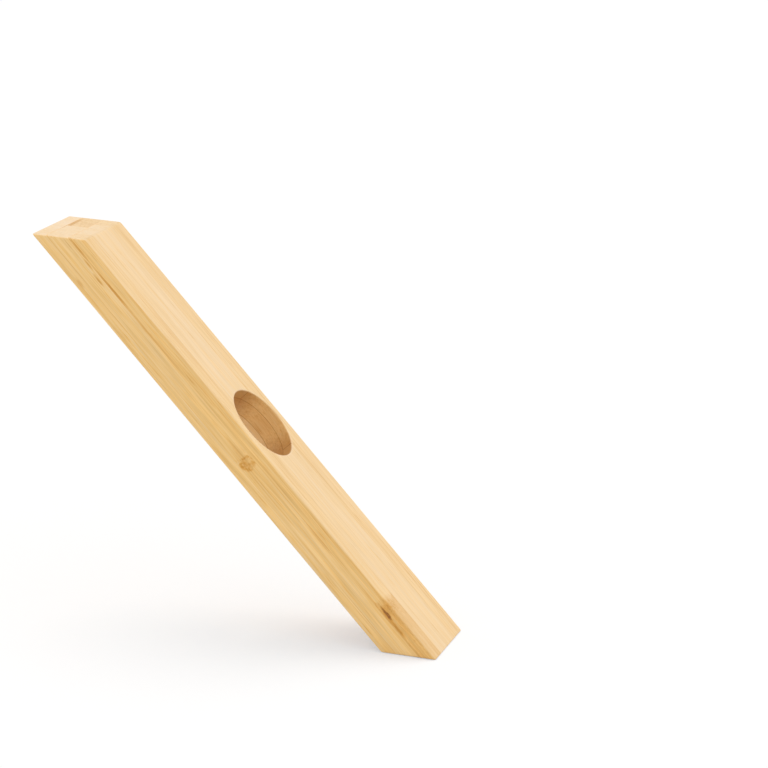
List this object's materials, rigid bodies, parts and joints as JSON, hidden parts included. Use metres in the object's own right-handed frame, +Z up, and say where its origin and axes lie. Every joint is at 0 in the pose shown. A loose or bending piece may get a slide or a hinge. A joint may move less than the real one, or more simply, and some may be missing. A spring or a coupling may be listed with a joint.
{
  "type": "balancing wine bottle holder",
  "caption": "Leaning board of laminated bamboo strips with level-cut ends and a round hole for a wine bottle's neck, standing balanced on its foot by the bottle's weight.",
  "frame": {"origin": "middle of the level foot that stands on the table", "axes": "+Z up, -X the way the board leans, so that the bottle's body hangs over +X, and Y across the board"},
  "size_m": [0.1957, 0.045, 0.1711],
  "materials": {
    "face_bamboo": "sanded bamboo with a clear satin finish",
    "core_bamboo": "sanded bamboo with a clear satin finish",
    "back_bamboo": "sanded bamboo with a clear satin finish"
  },
  "bodies": {
    "root": {"face_left_strip": "face_bamboo", "face_middle_strip_upper": "face_bamboo", "face_middle_strip_lower": "face_bamboo", "face_right_strip": "face_bamboo", "core_left_strip": "core_bamboo", "core_right_strip": "core_bamboo", "back_left_strip": "back_bamboo", "back_middle_strip_upper": "back_bamboo", "back_middle_strip_lower": "back_bamboo", "back_right_strip": "back_bamboo"}
  },
  "joints": []
}
